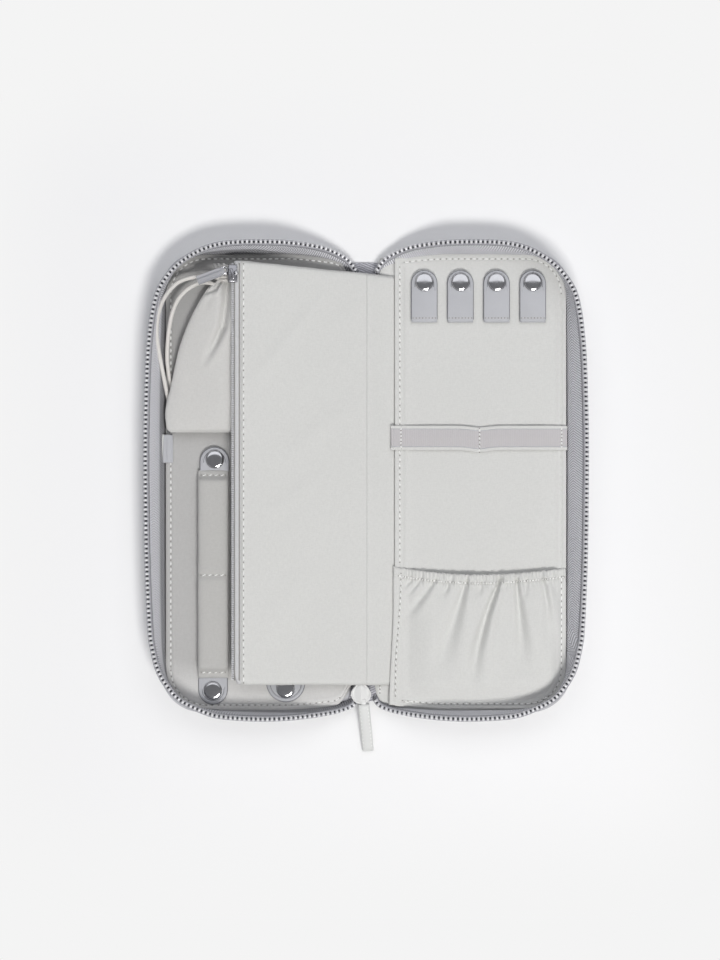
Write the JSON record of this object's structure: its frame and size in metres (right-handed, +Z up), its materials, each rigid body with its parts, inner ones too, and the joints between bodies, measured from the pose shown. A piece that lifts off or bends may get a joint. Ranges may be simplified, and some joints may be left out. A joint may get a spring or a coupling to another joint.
{
  "type": "jewelry case",
  "caption": "Zip-around fabric jewelry case that opens flat, with snap necklace tabs, ring bar, zipped page, drawstring pouch and gathered pocket.",
  "frame": {"origin": "centre of the spine's outer face, on the surface that the open case lies on", "axes": "+X across the open case towards the leaf with the necklace tabs, +Y along the spine towards the end with the necklace tabs, +Z up out of the open case"},
  "size_m": [0.219, 0.2527, 0.019],
  "materials": {
    "cover": "smooth matte synthetic leather, cool grey",
    "board": "stiffening board and foam, hidden between the cover and the lining",
    "lining": "soft brushed fabric, light warm grey",
    "tape": "herringbone zip tape, mid grey",
    "teeth": "nickel plated zip teeth",
    "slider_paint": "off-white lacquered zip slider",
    "puller_leather": "off-white smooth leather puller",
    "tab_leather": "fine grained cool grey leather",
    "metal": "polished nickel",
    "cord": "soft ivory cotton drawstring",
    "elastic": "ribbed woven elastic, mauve grey with a light border"
  },
  "bodies": {
    "spine": {"spine_cover": "cover", "spine_board": "board", "spine_lining": "lining", "zip_end_top": "tape", "zip_end_bottom": "tape", "main_slider": "slider_paint"},
    "left_leaf": {"left_cover": "cover", "left_board": "board", "left_lining": "lining", "left_gusset": "tape", "left_zip_chain": "teeth", "ring_stud_top": "metal", "ring_tab_bottom": "tab_leather", "ring_cap_bottom": "metal", "earring_strap": "lining", "earring_tab_bottom": "tab_leather", "earring_cap_bottom": "metal", "inner_zip_chain": "teeth", "inner_zip_slider": "metal", "pouch_body": "lining", "drawstring_a": "cord", "drawstring_b": "cord", "drawstring_knot": "cord"},
    "right_leaf": {"right_cover": "cover", "right_board": "board", "right_lining": "lining", "right_gusset": "tape", "right_zip_chain": "teeth", "tab_back_1": "tab_leather", "tab_back_2": "tab_leather", "tab_back_3": "tab_leather", "tab_back_4": "tab_leather", "tab_stud_1": "metal", "tab_stud_2": "metal", "tab_stud_3": "metal", "tab_stud_4": "metal", "elastic_strap": "elastic", "gathered_pocket": "lining"},
    "page_root": {"page_hem": "lining"},
    "page": {"page_piping": "lining", "page_front_panel": "lining", "page_back_panel": "lining", "page_zip_chain": "teeth"},
    "page_slider": {"page_zip_slider": "metal"},
    "page_puller": {"page_puller": "tab_leather"},
    "ring_bar": {"ring_bar_pad": "lining", "ring_tab_top": "tab_leather", "ring_cap_top": "metal"},
    "inner_puller": {"inner_zip_puller": "tab_leather"},
    "tab_1": {"necklace_tab_1": "tab_leather", "necklace_cap_1": "metal"},
    "tab_2": {"necklace_tab_2": "tab_leather", "necklace_cap_2": "metal"},
    "tab_3": {"necklace_tab_3": "tab_leather", "necklace_cap_3": "metal"},
    "tab_4": {"necklace_tab_4": "tab_leather", "necklace_cap_4": "metal"},
    "main_puller": {"main_puller_strip": "puller_leather"}
  },
  "joints": [
    {"name": "left_fold", "type": "hinge", "parent": "spine", "child": "left_leaf", "pos_m": [-0.018, 0, 0.0012], "axis": [0, 1, 0], "range_deg": [0, 90]},
    {"name": "right_fold", "type": "hinge", "parent": "spine", "child": "right_leaf", "pos_m": [0.018, 0, 0.0012], "axis": [0, -1, 0], "range_deg": [0, 90]},
    {"name": "page_follow", "type": "hinge", "parent": "page_root", "child": "page", "pos_m": [-0.001, 0, 0.0062], "axis": [0, 1, 0], "range_deg": [0, 81.5]},
    {"name": "page_turn", "type": "hinge", "parent": "spine", "child": "page_root", "pos_m": [0.0134, 0, 0.005], "axis": [0, -1, 0], "range_deg": [-147, 0]},
    {"name": "page_zip", "type": "slide", "parent": "page", "child": "page_slider", "axis": [0, 1, 0], "range_m": [-0.19, 0]},
    {"name": "page_puller_swing", "type": "hinge", "parent": "page_slider", "child": "page_puller", "pos_m": [-0.06775, 0.1025, 0.01629], "axis": [0.1495, 0, 0.9888], "range_deg": [0, 70]},
    {"name": "ring_bar_lift", "type": "hinge", "parent": "left_leaf", "child": "ring_bar", "pos_m": [-0.0762, -0.09775, 0.0051], "axis": [-1, 0, 0], "range_deg": [-95, 0]},
    {"name": "inner_puller_lift", "type": "hinge", "parent": "left_leaf", "child": "inner_puller", "pos_m": [-0.0986, 0.0236, 0.00485], "axis": [1, 0, 0], "range_deg": [-80, 0]},
    {"name": "tab_1_open", "type": "hinge", "parent": "right_leaf", "child": "tab_1", "pos_m": [0.029, 0.0802, 0.00475], "axis": [-1, 0, 0], "range_deg": [-168, 0]},
    {"name": "tab_2_open", "type": "hinge", "parent": "right_leaf", "child": "tab_2", "pos_m": [0.047, 0.0802, 0.00475], "axis": [-1, 0, 0], "range_deg": [-168, 0]},
    {"name": "tab_3_open", "type": "hinge", "parent": "right_leaf", "child": "tab_3", "pos_m": [0.065, 0.0802, 0.00475], "axis": [-1, 0, 0], "range_deg": [-168, 0]},
    {"name": "tab_4_open", "type": "hinge", "parent": "right_leaf", "child": "tab_4", "pos_m": [0.083, 0.0802, 0.00475], "axis": [-1, 0, 0], "range_deg": [-168, 0]},
    {"name": "main_puller_lift", "type": "hinge", "parent": "spine", "child": "main_puller", "pos_m": [-0.002, -0.1126, 0.0074], "axis": [1, 0, 0], "range_deg": [-95, 0]}
  ],
  "couplings": [
    {"joint": "right_fold", "follows": "left_fold", "ratio": 1},
    {"joint": "page_follow", "follows": "left_fold", "ratio": 0.9044},
    {"joint": "page_puller_swing", "follows": "left_fold", "ratio": 0.766}
  ]
}
